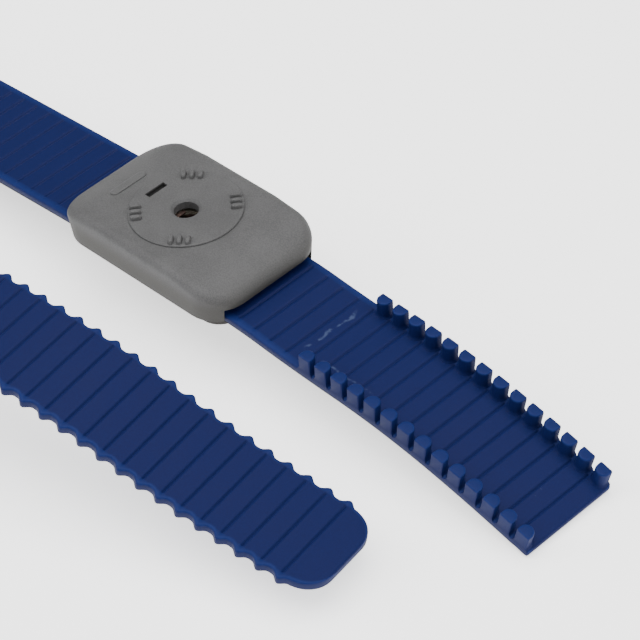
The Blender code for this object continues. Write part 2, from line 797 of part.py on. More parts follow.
def socket_parts(groups, mats):
    """The insulating barrel and the metal sleeve that the plug slides into."""
    group, cutters = groups
    bottom = BASE_TOP + CLEAR
    outer = BARREL_DIAMETER / 2
    bore = BARREL_BORE / 2
    barrel = turned("socket_barrel",
                    ((bore, BARREL_TOP), (outer, BARREL_TOP), (outer, bottom),
                     (bore, bottom), (bore, BARREL_TOP)), group, mats["barrel"],
                    (0, 0, 0), steps=24)
    gap = box_bmesh(0.0, outer + 1, -TONGUE_WIDTH / 2 - CLEAR, TONGUE_WIDTH / 2 + CLEAR,
                    PLATE_UNDER - CLEAR, PLATE_TOP + CLEAR)
    boolean(barrel, as_cutter(add_bmesh("tongue gap", gap, cutters)), 'DIFFERENCE')
    sleeve_top = BARREL_TOP - CLEAR
    sleeve_bottom = sleeve_top - SLEEVE_HEIGHT
    wide = SLEEVE_DIAMETER / 2
    tight = SLEEVE_BORE / 2
    turned("socket_sleeve",
           ((tight, sleeve_top), (wide, sleeve_top), (wide, sleeve_bottom),
            (tight, sleeve_bottom), (tight, sleeve_top)), group, mats["copper"],
           (0, 0, 0), steps=24)


def contact_plate(name, sign, groups, mats):
    """The strip that the rivets clamp on a band end, with a tongue to its contact."""
    group, cutters = groups
    inner = BAND_INNER_END
    low, high = sorted((sign * inner, sign * PLATE_OUTER_END))
    plate = add_bmesh(name, box_bmesh(low, high, -PLATE_WIDTH / 2, PLATE_WIDTH / 2,
                                      PLATE_UNDER, PLATE_TOP), group, mats["copper"])
    reach = 1.0
    if sign > 0:
        tongue = box_bmesh(SLEEVE_DIAMETER / 2 + CLEAR, inner + reach,
                           -TONGUE_WIDTH / 2, TONGUE_WIDTH / 2, PLATE_UNDER, PLATE_TOP)
    else:
        tongue = box_bmesh(-inner - reach, LEAF_X + LEAF_WIDTH / 2,
                           LEAF_FOOT - TONGUE_WIDTH / 2, LEAF_FOOT + TONGUE_WIDTH / 2,
                           PLATE_UNDER, PLATE_TOP)
    boolean(plate, as_cutter(add_bmesh(name + " tongue", tongue, cutters)), 'UNION')
    holes = [cylinder_bmesh(RIVET_HOLE, PLATE_UNDER - 1, PLATE_TOP + 1,
                            (sign * RIVET_X, y), segments=20)
             for y in (-RIVET_Y, RIVET_Y)]
    boolean(plate, as_cutter(add_bmesh(name + " holes", merge_bmeshes(holes), cutters)),
            'DIFFERENCE')
    return plate


def contact_leaf(groups, mats):
    """The spring leaf that crosses one side of the socket under the roof."""
    group, cutters = groups
    top = ROOF_UNDER - CLEAR
    low = LEAF_X - LEAF_WIDTH / 2
    high = LEAF_X + LEAF_WIDTH / 2
    leaf = add_bmesh("contact_leaf",
                     box_bmesh(low, high, LEAF_FOOT - LEAF_THICKNESS / 2, LEAF_TIP,
                               top - LEAF_THICKNESS, top), group, mats["copper"])
    leg = box_bmesh(low, high, LEAF_FOOT - LEAF_THICKNESS / 2,
                    LEAF_FOOT + LEAF_THICKNESS / 2, PLATE_TOP + CLEAR,
                    top - LEAF_THICKNESS / 2)
    boolean(leaf, as_cutter(add_bmesh("leaf leg", leg, cutters)), 'UNION')
    return leaf


def rivets(groups, mats):
    """Four rivets, each through a contact plate, a band end and its liner."""
    head = RIVET_HEAD / 2
    shaft = RIVET_SHAFT / 2
    top = RIVET_HEAD_UNDER + RIVET_HEAD_HEIGHT
    lower = LINER_UNDER - CLEAR
    profile = ((0.0, top), (head * 0.7, top), (head, top - RIVET_HEAD_HEIGHT / 2),
               (head, RIVET_HEAD_UNDER), (shaft, RIVET_HEAD_UNDER), (shaft, lower),
               (head, lower), (head, lower - RIVET_HEAD_HEIGHT),
               (0.0, lower - RIVET_HEAD_HEIGHT))
    for side, sign in (("clasp", 1), ("tail", -1)):
        for place, y in (("front", -RIVET_Y), ("back", RIVET_Y)):
            turned("rivet_%s_%s" % (side, place), profile, groups[0], mats["rivet"],
                   (sign * RIVET_X, y, 0.0))


# --- the whole part -------------------------------------------------------------------

def main():
    """Build the strap about the socket face, then move it to its place."""
    clear_scene()
    groups = (collection("ESD wrist strap"), collection("Cutters"))
    mats = {
        "cover": material("Grey moulding", GREY, 0.6),
        "base": material("Dark grey moulding", DARK_GREY, 0.65),
        "barrel": material("Ivory insulator", IVORY, 0.5),
        "band": material("Blue band", BLUE, 0.5),
        "liner": material("Black liner", BLACK, 0.75),
        "copper": material("Copper contact", COPPER, 0.3, 1.0),
        "rivet": material("Plated rivet", NICKEL, 0.3, 1.0),
    }
    clasp_route = Route((BAND_FREE_FROM, 0.0, BAND_TOP),
                        ((1, 0, 0), (0, 1, 0), (0, 0, 1)), CLASP_ROUTE)
    tail_route = Route((-BAND_FREE_FROM, 0.0, BAND_TOP),
                       ((-1, 0, 0), (0, -1, 0), (0, 0, 1)), TAIL_ROUTE)
    housing_cover(groups, mats)
    housing_base(groups, mats)
    socket_parts(groups, mats)
    contact_plate("contact_plate_clasp", 1, groups, mats)
    contact_plate("contact_plate_tail", -1, groups, mats)
    contact_leaf(groups, mats)
    rivets(groups, mats)
    clasp_side(clasp_route, groups, mats)
    tail_side(tail_route, groups, mats)
    shift = [value * MM for value in HOUSING_AT]
    for group in groups:
        for thing in group.objects:
            thing.location = [a + b for a, b in zip(thing.location, shift)]


main()
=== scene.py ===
# %% [markdown]
# # An ESD wrist strap on a pale bench
#
# The strap has a grey housing with a socket for a ground cord.  A blue band leaves it on
# both sides.  One end carries two rows of small posts.  The other runs round and ends in
# a tail with scalloped edges.
#
# Each cell below makes one thing and says how its shape is worked out.  The rigid frame
# of the strap comes first, because every visible piece is laid on it.

# %%
import json
import math

import bmesh
import bpy
import numpy as np
from mathutils import Matrix


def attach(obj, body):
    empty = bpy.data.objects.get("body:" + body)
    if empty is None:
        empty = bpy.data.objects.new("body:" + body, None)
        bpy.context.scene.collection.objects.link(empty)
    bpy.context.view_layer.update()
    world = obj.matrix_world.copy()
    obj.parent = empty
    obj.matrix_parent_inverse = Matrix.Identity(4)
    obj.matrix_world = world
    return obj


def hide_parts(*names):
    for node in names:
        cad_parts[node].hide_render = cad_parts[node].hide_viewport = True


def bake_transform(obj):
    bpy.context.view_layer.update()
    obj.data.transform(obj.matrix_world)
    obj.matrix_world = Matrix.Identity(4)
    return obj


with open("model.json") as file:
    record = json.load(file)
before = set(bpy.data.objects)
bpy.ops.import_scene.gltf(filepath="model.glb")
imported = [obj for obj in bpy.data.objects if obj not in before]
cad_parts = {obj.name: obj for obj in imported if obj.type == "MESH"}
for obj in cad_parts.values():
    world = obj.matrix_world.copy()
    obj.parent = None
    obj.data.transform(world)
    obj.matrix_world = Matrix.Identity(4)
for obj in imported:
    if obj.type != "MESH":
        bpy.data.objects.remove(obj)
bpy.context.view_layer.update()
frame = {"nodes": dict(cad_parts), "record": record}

MM = 0.001

# %% [markdown]
# ## Sizes
#
# Lengths are in millimetres.  They are measured from the middle of the socket face, with
# x along the band towards the posts, y across it and z up out of the face.

# %%
SOCKET_FACE_AT = np.array([6.84, 20.14, 18.01])

COVER_HALF = (20.0, 12.6)
COVER_LEAN = 0.3
COVER_TOP = -0.35
COVER_FOOT = -7.6
COVER_CORNER = 6.1
CROWN_START = 8.4
CROWN_RADIUS = 25.4
END_OPENING_TOP = -5.1
COVER_EDGE = 1.4
COVER_WALL = 1.5
COVER_ROOF = 1.5

FACE_RADIUS = 9.7
SOCKET_RADIUS = 2.1
KEY_SLOT = (-7.3, 1.15, 4.1)      # where along the band, length, width
RIB_SIZE = (2.0, 0.85, 0.75)
RIB_PITCH = 1.42
RIB_RADIUS = 8.35
RIB_ANGLE = 50.0

BAND_WIDTH = 19.0
BAND_THICKNESS = 1.3
BAND_TOP = -6.6
BAND_FREE_FROM = 17.0
BAND_START = -10.5                # inside the housing
EDGE_ROUND = 0.4
MARGIN = 1.4
LINER_GAP = 0.3
LINER_THICKNESS = 0.35
LINER_INSET = 0.35

GROOVE_DEPTH = 0.24
GROOVE_REACH = 0.3                # half its width

POST_PITCH = 3.57
POST_COUNT = 14
POST_FIRST = 18.4
POST_LENGTH = 2.4
POST_DEPTH = 2.1
POST_HEIGHT = 3.2
CLASP_LENGTH = 67.9

TAIL_LENGTH = 268.6
TAIL_THICKNESS = 1.6
TAIL_WIDTH = 19.1
SCALLOP_PITCH = 3.78
SCALLOP_DEPTH = 0.95
SCALLOP_TIPS = 22
SCALLOP_LAST = 262.4
TAIL_CORNER = 5.0
SCALLOP_FIRST = SCALLOP_LAST - (SCALLOP_TIPS - 1) * SCALLOP_PITCH

CLASP_ROUTE = (
    (8.0, 6.3, 0.0, 0.0),
    (17.0, -3.6, 0.0, 0.0),
    (22.0, 9.8, 0.0, 0.0),
    (25.0, 6.6, 0.0, 0.0),
)
TAIL_ROUTE = (
    (6.0, 3.0, 0.0, 0.0),
    (38.0, 0.0, 0.0, 0.0),
    (22.0, -9.95, 80.27, 0.0),
    (28.3, 134.6, 29.3, 0.0),
    (72.0, 57.2, -34.5, 0.0),
    (22.0, 7.4, -56.46, 0.0),
    (6.1, 0.34, 0.07, 0.0),
    (16.0, 5.1, -0.9, 1.1),
    (18.0, 10.5, -0.9, 1.1),
    (18.0, -6.5, -0.9, -0.3),
    (24.0, -3.6, -0.9, -0.3),
)

# %% [markdown]
# ## Routes
#
# A band is shaped flat and then laid along a route.  A route is walked in short steps.
# At each step the band's own axes (along, across, out) turn a little by the rotation
# matrix of Rodrigues, R = I + sin a K + (1 - cos a) K K, where K is the cross-product
# matrix of the axis and a the angle.

# %%
def rotation(vector):
    """R = I + sin a K + (1 - cos a) K K for a vector of length a along the axis."""
    angle = float(np.linalg.norm(vector))
    if angle < 1e-12:
        return np.eye(3)
    x, y, z = vector / angle
    cross = np.array([[0.0, -z, y], [z, 0.0, -x], [-y, x, 0.0]])
    return np.eye(3) + math.sin(angle) * cross + (1 - math.cos(angle)) * cross @ cross


class Route:
    """The middle line of a band's outer face, walked in half-millimetre steps."""

    def __init__(self, start, axes, stretches, step=0.5):
        """Each stretch is (length, bend, twist, veer), the last three in degrees."""
        place = np.array(start, float)
        turn_now = np.array(axes, float).T
        distance, places, frames = [0.0], [place], [turn_now]
        for length, bend, twist, veer in stretches:
            count = max(1, round(length / step))
            turn = np.radians([twist, bend, veer]) / count
            for _ in range(count):
                place = place + length / count * (turn_now @ rotation(turn / 2))[:, 0]
                turn_now = turn_now @ rotation(turn)
                distance.append(distance[-1] + length / count)
                places.append(place)
                frames.append(turn_now)
        self.distance = np.array(distance)
        self.places = np.array(places)
        self.frames = np.array(frames)

    def at(self, distance):
        """Places and axes at an array of distances, straight beyond both ends."""
        distance = np.asarray(distance, float)
        inside = np.clip(distance, 0.0, self.distance[-1])
        flat = np.column_stack([self.places, self.frames.reshape(-1, 9)])
        found = np.array([np.interp(inside, self.distance, column) for column in flat.T])
        places = found[:3].T
        frames = found[3:].T.reshape(-1, 3, 3)
        frames = frames / np.linalg.norm(frames, axis=1, keepdims=True)
        return places + frames[:, :, 0] * (distance - inside)[:, None], frames

    def lay(self, flat):
        """P(s) + y w(s) + z n(s) for flat points (s, y, z), in the strap's place."""
        places, frames = self.at(flat[:, 0])
        laid = places + frames[:, :, 1] * flat[:, 1:2] + frames[:, :, 2] * flat[:, 2:3]
        return laid + SOCKET_FACE_AT

    def point(self, distance, out=0.0):
        """One laid point, in metres."""
        return self.lay(np.array([[distance, 0.0, out]]))[0] * MM


clasp_route = Route((BAND_FREE_FROM, 0, BAND_TOP),
                    ((1, 0, 0), (0, 1, 0), (0, 0, 1)), CLASP_ROUTE)
tail_route = Route((-BAND_FREE_FROM, 0, BAND_TOP),
                   ((-1, 0, 0), (0, -1, 0), (0, 0, 1)), TAIL_ROUTE)

# %% [markdown]
# ## Meshes from numpy
#
# Every surface is a grid of rows and columns.  A grid of R rows and C columns that closes
# on itself has quads (i, j), (i+1, j), (i+1, j+1), (i, j+1), with j+1 taken modulo C.

# %%
def grid_faces(rows, columns, first=0):
    """Index quads of a grid whose columns close on themselves."""
    i, j = np.meshgrid(np.arange(rows - 1), np.arange(columns), indexing='ij')
    k = (j + 1) % columns
    quads = np.stack([i * columns + j, (i + 1) * columns + j, (i + 1) * columns + k,
                      i * columns + k], axis=-1)
    return quads.reshape(-1, 4) + first


def make_object(name, points, faces, sharp=40.0, **attributes):
    """An object from points in millimetres, faces and values stored on its points."""
    mesh = bpy.data.meshes.new(name)
    mesh.from_pydata((np.asarray(points) * MM).tolist(), [], [list(f) for f in faces])
    for key, values in attributes.items():
        layer = mesh.attributes.new(key, 'FLOAT', 'POINT')
        layer.data.foreach_set("value", np.asarray(values, np.float32).ravel())
    work = bmesh.new()
    work.from_mesh(mesh)
    bmesh.ops.recalc_face_normals(work, faces=work.faces)
    work.to_mesh(mesh)
    work.free()
    mesh.shade_smooth()
    mesh.set_sharp_from_angle(angle=math.radians(sharp))
    thing = bpy.data.objects.new(name, mesh)
    bpy.context.scene.collection.objects.link(thing)
    return thing


def cut(thing, tool):
    """Take the tool's shape out of a thing, and drop the tool."""
    mod = thing.modifiers.new("Cut", 'BOOLEAN')
    mod.operation = 'DIFFERENCE'
    mod.solver = 'EXACT'
    mod.object = tool
    graph = bpy.context.evaluated_depsgraph_get()
    mesh = bpy.data.meshes.new_from_object(thing.evaluated_get(graph))
    thing.modifiers.clear()
    thing.data = mesh
    bpy.data.objects.remove(tool, do_unlink=True)
    mesh.shade_smooth()
    mesh.set_sharp_from_angle(angle=math.radians(35))


def box(name, x0, x1, y0, y1, z0, z1):
    """A plain block between two corners."""
    corners = np.array([[x, y, z] for x in (x0, x1) for y in (y0, y1) for z in (z0, z1)])
    faces = ((0, 1, 3, 2), (4, 6, 7, 5), (0, 4, 5, 1), (2, 3, 7, 6), (0, 2, 6, 4),
             (1, 5, 7, 3))
    return make_object(name, corners + SOCKET_FACE_AT, faces)


# %% [markdown]
# ## The band
#
# A cross-section runs from the middle of the outer face over the grooved floor, the plain
# margin and the rounded edge, and back under to the middle.  Its mirror image closes it.
#
# - Grooves lie across the band at the posts' pitch.  With u the distance from a groove's
#   middle over its reach, its depth is d (1 - u^2)^2 for |u| < 1, and 0 beyond.
# - The tail's edge swells to a round tip at every pitch p.  With v the distance from a
#   tip, it stands out by depth ((1 + cos 2 pi v / p) / 2)^1.7, which makes the tips round
#   and the hollows between them wide.

# %%
def plain_half(distance):
    """Half the band's width, the same all along."""
    return np.full_like(distance, BAND_WIDTH / 2)


def tail_half(distance):
    """Half the tail's width: plain, then round tips, then a round-cornered end."""
    half_pitch = SCALLOP_PITCH / 2
    valley = TAIL_WIDTH / 2 - SCALLOP_DEPTH
    wave = (1 + np.cos(2 * math.pi * (distance - SCALLOP_FIRST) / SCALLOP_PITCH)) / 2
    scalloped = valley + SCALLOP_DEPTH * wave ** 1.7
    into = np.clip(distance - (TAIL_LENGTH - TAIL_CORNER), 0.0, TAIL_CORNER)
    end = valley - TAIL_CORNER + np.sqrt(TAIL_CORNER ** 2 - into ** 2)
    half = np.where(distance < SCALLOP_FIRST - half_pitch, BAND_WIDTH / 2, scalloped)
    return np.where(distance > SCALLOP_LAST + half_pitch, end, half)


def groove_depth(distance, grooves):
    """d (1 - u^2)^2 of the nearest groove, with u the distance over its reach."""
    away = np.min(np.abs(distance[:, None] - grooves[None, :]), axis=1)
    u = np.minimum(away / GROOVE_REACH, 1.0)
    return GROOVE_DEPTH * (1 - u ** 2) ** 2


def band_grid(distance, half, drop, top, thickness, nose):
    """Cross-sections (across, out, wear) at each distance, as arrays of rows; wear is the
    painted highlight on the top edge.
    """
    edge = min(EDGE_ROUND, float(np.min(thickness)) * 0.45)
    half = half - nose
    top = top - nose
    under = top - thickness + 2 * nose
    inner = np.minimum(BAND_WIDTH / 2 - MARGIN, half - edge - 0.35)
    # Each column is (across, out, painted highlight): the highlight is brightest on top of
    # the rounded edge and fades down its side.
    columns = []
    for share in (0.0, 0.25, 0.5, 0.75, 1.0):
        columns.append((inner * share, top - drop, 0.0))
    columns.append((inner + 0.12, top - drop * 0.5, 0.3))
    columns.append((inner + 0.25, top, 0.5))
    for angle in np.radians([0, 25, 50, 75, 90]):
        columns.append((half - edge + edge * math.sin(angle),
                        top - edge + edge * math.cos(angle), math.cos(angle * 0.9)))
    low = edge * 0.5
    for angle in np.radians([0, 45, 90]):
        columns.append((half - low + low * math.cos(angle),
                        under + low - low * math.sin(angle), 0.0))
    for share in (0.75, 0.5, 0.25, 0.0):
        columns.append(((half - low) * share, under + 0 * half, 0.0))
    across = np.array([column[0] + 0 * distance for column in columns])
    out = np.array([column[1] + 0 * distance for column in columns])
    wear = np.array([column[2] + 0 * distance for column in columns])
    across = np.concatenate([across, -across[-2:0:-1]])
    out = np.concatenate([out, out[-2:0:-1]])
    wear = np.concatenate([wear, wear[-2:0:-1]])
    return across.T, out.T, wear.T


def band_rows(start, stop, spacing, grooves, round_start, round_stop):
    """Distances of the rows, and how far each is drawn in to round the band's ends."""
    rows = np.linspace(start, stop, int((stop - start) / spacing) + 2)
    if len(grooves):
        away = np.min(np.abs(rows[:, None] - grooves[None, :]), axis=1)
        close = GROOVE_REACH * np.array([-1.0, -0.66, -0.33, 0.0, 0.33, 0.66, 1.0])
        extra = (grooves[:, None] + close).ravel()
        extra = extra[(extra > start + 0.05) & (extra < stop - 0.05)]
        inner = rows[1:-1][away[1:-1] > GROOVE_REACH + 0.08]
        rows = np.concatenate([rows[:1], np.sort(np.concatenate([inner, extra])),
                               rows[-1:]])
    nose = np.zeros_like(rows)
    angles = np.radians([90.0, 60.0, 30.0])
    radius = 0.4
    lead = radius * (1 - np.sin(angles))
    inward = radius * (1 - np.cos(angles))
    if round_start:
        rows = np.concatenate([start + lead, rows[rows > start + radius]])
        nose = np.concatenate([inward, np.zeros(len(rows) - 3)])
    if round_stop:
        keep = rows < stop - radius
        rows = np.concatenate([rows[keep], stop - lead[::-1]])
        nose = np.concatenate([nose[keep], inward[::-1]])
    return rows, nose


def band_thickness(distance):
    """The plain band's thickness, the same all along."""
    return np.full_like(distance, BAND_THICKNESS)


def liner_thickness(distance):
    """The liner and the thin bond above it."""
    return np.full_like(distance, LINER_THICKNESS + LINER_GAP - 0.05)


def lay_band(name, route, start, stop, half_width, grooves, top=0.0,
             thickness=band_thickness, inset=0.0, spacing=0.4, ends=(False, False),
             extra=None):
    """A closed stretch of band on its route, with its posts if it has any."""
    distance, nose = band_rows(start, stop, spacing, np.asarray(grooves), *ends)
    half = half_width(distance) - inset
    drop = groove_depth(distance, grooves) if len(grooves) else 0 * distance
    across, out, wear = band_grid(distance, half, drop, top, thickness(distance), nose)
    rows, columns = across.shape
    along = np.repeat(distance[:, None], columns, axis=1)
    flat = np.stack([along, across, out], axis=-1).reshape(-1, 3)
    faces = grid_faces(rows, columns).tolist()
    faces.append(list(range(columns)))
    faces.append(list(range((rows - 1) * columns, rows * columns)))
    wear = wear.ravel()
    if extra is not None:
        more, more_faces, more_wear = extra
        faces += (np.array(more_faces[0]) + len(flat)).tolist()
        faces += [[index + len(flat) for index in face] for face in more_faces[1]]
        flat = np.concatenate([flat, more])
        wear = np.concatenate([wear, more_wear])
    side = np.full(len(flat), float(route is clasp_route))
    # The values stored here paint a highlight on the top edges of the band and its posts.
    return make_object(name, route.lay(flat), faces, wear=wear, along=flat[:, 0],
                       across=flat[:, 1], clasp=side)


# %% [markdown]
# ## The posts
#
# Seen from above a post is flat along the band's edge and half round towards the middle.
# It grows out of the floor with a small fillet, widens slightly on its way up, and its
# top edge is rounded.  The same few rings, scaled, make every post.

# %%
def post_outline():
    """Plan of one post about its own middle: (along, inwards from the band's edge)."""
    radius = POST_LENGTH / 2
    angle = np.linspace(0.0, math.pi, 15)
    along = np.concatenate([[-radius + 0.15, radius - 0.15, radius], np.cos(angle) * radius,
                            [-radius]])
    inward = np.concatenate([[0.0, 0.0, 0.15],
                             POST_DEPTH - radius + np.sin(angle) * radius, [0.15]])
    return along, inward


def posts(start, stop):
    """Points, faces and painted highlight (wear) of the posts between two distances, on both
    edges.
    """
    along, inward = post_outline()
    heights = np.array([-0.3, 0.0, 0.18, 0.5, POST_HEIGHT - 0.35, POST_HEIGHT - 0.15,
                        POST_HEIGHT - 0.04, POST_HEIGHT])
    spread = np.array([0.50, 0.34, 0.14, 0.02, 0.04, 0.0, -0.13, -0.36])
    # How strongly each ring of a post gets the painted highlight: most at its top rim.
    post_edge_light = np.array([0.0, 0.0, 0.0, 0.1, 0.5, 1.0, 1.0, 0.6])
    centre = np.array([0.0, POST_DEPTH / 2])
    plan = np.stack([along, inward], axis=-1) - centre
    outward = plan / np.linalg.norm(plan, axis=1, keepdims=True)
    rings = plan[None] + outward[None] * spread[:, None, None] + centre
    rings[..., 1] = np.maximum(rings[..., 1], 0.0)
    firsts = POST_FIRST + POST_PITCH * np.arange(POST_COUNT)
    firsts = firsts[(firsts + POST_LENGTH / 2 > start) & (firsts + POST_LENGTH / 2 < stop)]
    points, quads, caps, wear = [], [], [], []
    count = len(along)
    for first in firsts:
        for side in (-1, 1):
            base = len(points) * len(heights) * count
            x = first + POST_LENGTH / 2 + rings[..., 0]
            y = side * (BAND_WIDTH / 2 + 0.04 - rings[..., 1])
            z = np.repeat(heights[:, None], count, axis=1)
            points.append(np.stack([x, y, z], axis=-1).reshape(-1, 3))
            quads.append(grid_faces(len(heights), count, base))
            caps.append(list(range(base, base + count)))
            top = base + (len(heights) - 1) * count
            caps.append(list(range(top, top + count)))
            wear.append(np.repeat(post_edge_light, count))
    return np.concatenate(points), (np.concatenate(quads), caps), np.concatenate(wear)


# %% [markdown]
# ## Bands in pieces
#
# A piece spans one hinge and bends smoothly across it.  Two pieces meet in the bottom of
# a groove, halfway between two hinges, where the line between them can't be seen.

# %%
PLAIN_GROOVES = POST_FIRST - (POST_PITCH - POST_LENGTH) / 2 + POST_PITCH * np.arange(-6, 60)
clasp_grooves = PLAIN_GROOVES[(PLAIN_GROOVES > 1) & (PLAIN_GROOVES < CLASP_LENGTH - 3.5)]
tips = SCALLOP_FIRST + SCALLOP_PITCH * np.arange(SCALLOP_TIPS)
tail_grooves = np.concatenate(
    [PLAIN_GROOVES[(PLAIN_GROOVES > 1) & (PLAIN_GROOVES < SCALLOP_FIRST - 2.5)], tips])


def nearest_groove(grooves, distance):
    """The groove closest to a distance."""
    return float(grooves[np.argmin(np.abs(grooves - distance))])


def tail_thickness(distance):
    """The plain band thickens to the tail's own thickness over a few millimetres."""
    share = np.clip((distance - (SCALLOP_FIRST - 6)) / 5, 0.0, 1.0)
    share = share * share * (3 - 2 * share)
    return BAND_THICKNESS + (TAIL_THICKNESS - BAND_THICKNESS) * share


CLASP_HINGES = (9.0, 42.8)
TAIL_HINGES = (9.0, 70.0, 118.0, 176.0, 220.8)
CLASP_BODIES = ("housing", "clasp_mid", "clasp_end")
TAIL_BODIES = ("housing", "tail_leg", "tail_turn", "tail_return", "tail_scallops_near",
               "tail_scallops_far")
BEND_REACH = 7.0

clasp_cuts = (BAND_START, nearest_groove(clasp_grooves, 26.0), CLASP_LENGTH)
tail_cuts = (BAND_START, *(nearest_groove(tail_grooves, s) for s in (40, 94, 147, 198)),
             TAIL_LENGTH)


def hang(thing, route, hinge, bodies, *nodes):
    """Bake a piece's transform and hide the rigid nodes it takes the place of."""
    route.point(hinge - BEND_REACH)
    route.point(hinge + BEND_REACH)
    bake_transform(thing)
    if nodes:
        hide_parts(*nodes)


band_pieces = []
liner_pieces = []
CLASP_NODES = (("clasp_band_root",), ("clasp_band_mid", "clasp_band_end"))
CLASP_LINERS = (("clasp_liner_root",), ("clasp_liner_mid", "clasp_liner_end"))
for i in range(2):
    begin, end = clasp_cuts[i], clasp_cuts[i + 1]
    last = i == 1
    piece = lay_band(f"Clasp_band_{i + 1}", clasp_route, begin, end, plain_half,
                     clasp_grooves, ends=(i == 0, last), spacing=0.3,
                     extra=posts(begin, end))
    hang(piece, clasp_route, CLASP_HINGES[i], CLASP_BODIES[i:i + 2], *CLASP_NODES[i])
    band_pieces.append(piece)
    liner = lay_band(f"Clasp_liner_{i + 1}", clasp_route, begin, end - 2.5 * last,
                     plain_half, [], top=-BAND_THICKNESS - 0.05,
                     thickness=liner_thickness, inset=LINER_INSET,
                     ends=(i == 0, last), spacing=1.0)
    hang(liner, clasp_route, CLASP_HINGES[i], CLASP_BODIES[i:i + 2], *CLASP_LINERS[i])
    liner_pieces.append(liner)

TAIL_NODES = (("tail_band_root",), ("tail_band_leg",), ("tail_band_turn",),
              ("tail_band_return",), ("tail_scallops_root", "tail_scallops_end"))
TAIL_LINERS = (("tail_liner_root",), ("tail_liner_leg",), ("tail_liner_turn",),
               ("tail_liner_return",))
LINER_STOP = SCALLOP_FIRST - 8.0
for i in range(5):
    begin, end = tail_cuts[i], tail_cuts[i + 1]
    piece = lay_band(f"Tail_band_{i + 1}", tail_route, begin, end, tail_half,
                     tail_grooves, thickness=tail_thickness, ends=(i == 0, i == 4),
                     spacing=0.24 if i > 2 else 0.36)
    hang(piece, tail_route, TAIL_HINGES[i], TAIL_BODIES[i:i + 2], *TAIL_NODES[i])
    band_pieces.append(piece)
    if i < 4:
        liner = lay_band(f"Tail_liner_{i + 1}", tail_route, begin,
                         min(end, LINER_STOP), plain_half, [],
                         top=-BAND_THICKNESS - 0.05,
                         thickness=liner_thickness,
                         inset=LINER_INSET, ends=(i == 0, i == 3), spacing=1.0)
        hang(liner, tail_route, TAIL_HINGES[i], TAIL_BODIES[i:i + 2], *TAIL_LINERS[i])
        liner_pieces.append(liner)

for piece in band_pieces + liner_pieces:
    print(f"{piece.name}: {len(piece.data.polygons)} faces")

# %% [markdown]
# ## The housing cover
#
# The cover is one closed shell.  Its rings are rounded rectangles: up the wall, over a
# round edge, in across the top to a circle, down through the roof, and out again under
# it to the foot.  A ring is a rectangle of half sides (a, b) less the corner radius r,
# plus r (cos t, sin t).  The top is flat in the middle and curves down to both ends.

# %%
CORNER_STEPS = 10


def rounded_ring(half_x, half_y, corner):
    """A rounded rectangle as points, with the same number of points in every ring."""
    turns = []
    for quarter in range(4):
        t = np.linspace(0, math.pi / 2, CORNER_STEPS + 1) + quarter * math.pi / 2
        sx = 1 if quarter in (0, 3) else -1
        sy = 1 if quarter in (0, 1) else -1
        x = sx * (half_x - corner) + corner * np.cos(t)
        y = sy * (half_y - corner) + corner * np.sin(t)
        turns.append(np.stack([x, y], axis=-1))
    whole = np.concatenate(turns)
    filled = []
    for a, b in zip(whole, np.roll(whole, -1, axis=0)):
        filled.append(a)
        if np.linalg.norm(b - a) > 2.5:
            for share in (0.2, 0.4, 0.6, 0.8):
                filled.append(a * (1 - share) + b * share)
    return np.array(filled)


def circle_like(ring, radius):
    """The points of a circle in the same directions as a ring's points."""
    return ring / np.linalg.norm(ring, axis=1, keepdims=True) * radius


def crown_drop(x):
    """R - sqrt(R^2 - (|x| - x0)^2) beyond x0: how far the top has curved down."""
    past = np.maximum(np.abs(x) - CROWN_START, 0.0)
    return CROWN_RADIUS - np.sqrt(CROWN_RADIUS ** 2 - past ** 2)


def crowned(ring, z):
    """A flat ring lifted to a height, less the crown's drop in step with its height."""
    share = np.clip((z - COVER_FOOT) / (COVER_TOP - COVER_EDGE - COVER_FOOT), 0.0, 1.0)
    return np.column_stack([ring, z - share * crown_drop(ring[:, 0])])


def cover_rings():
    """Rings (x, y, z) of the shell, in order, closing on the first."""
    half_x, half_y = COVER_HALF
    wall_top = COVER_TOP - COVER_EDGE
    rings = []

    def add(inset, z, corner=COVER_CORNER):
        rings.append(crowned(rounded_ring(half_x - inset, half_y - inset, corner), z))

    add(COVER_LEAN + 0.15, COVER_FOOT)
    add(COVER_LEAN, COVER_FOOT + 0.15)
    for share in (0.3, 0.6, 0.9):
        add(COVER_LEAN * (1 - share), COVER_FOOT + (wall_top - COVER_FOOT) * share)
    for angle in np.radians(np.linspace(0, 90, 9)):
        inset = COVER_EDGE * (1 - math.cos(angle))
        add(inset, wall_top + COVER_EDGE * math.sin(angle), COVER_CORNER - inset * 0.6)
    outer = rounded_ring(half_x - COVER_EDGE, half_y - COVER_EDGE,
                         COVER_CORNER - COVER_EDGE * 0.6)
    inner = circle_like(outer, FACE_RADIUS - 0.5)
    for share in (0.06, 0.2, 0.4, 0.6, 0.8, 1.0):
        rings.append(crowned(outer * (1 - share) + inner * share, COVER_TOP))
    mouth = circle_like(outer, SOCKET_RADIUS + 1.5)
    rings.append(crowned(mouth, COVER_TOP))
    rings.append(crowned(mouth, COVER_TOP - COVER_ROOF))
    under = rounded_ring(half_x - COVER_WALL - 0.4, half_y - COVER_WALL - 0.4,
                         COVER_CORNER - COVER_WALL)
    for share in (0.35, 0.7, 1.0):
        level = np.full(len(under), COVER_TOP - COVER_ROOF)
        ring = mouth * (1 - share) + under * share
        rings.append(np.column_stack([ring, level - crown_drop(ring[:, 0])]))
    add(COVER_WALL, wall_top - COVER_ROOF, COVER_CORNER - COVER_WALL)
    add(COVER_WALL + COVER_LEAN, COVER_FOOT, COVER_CORNER - COVER_WALL)
    return rings


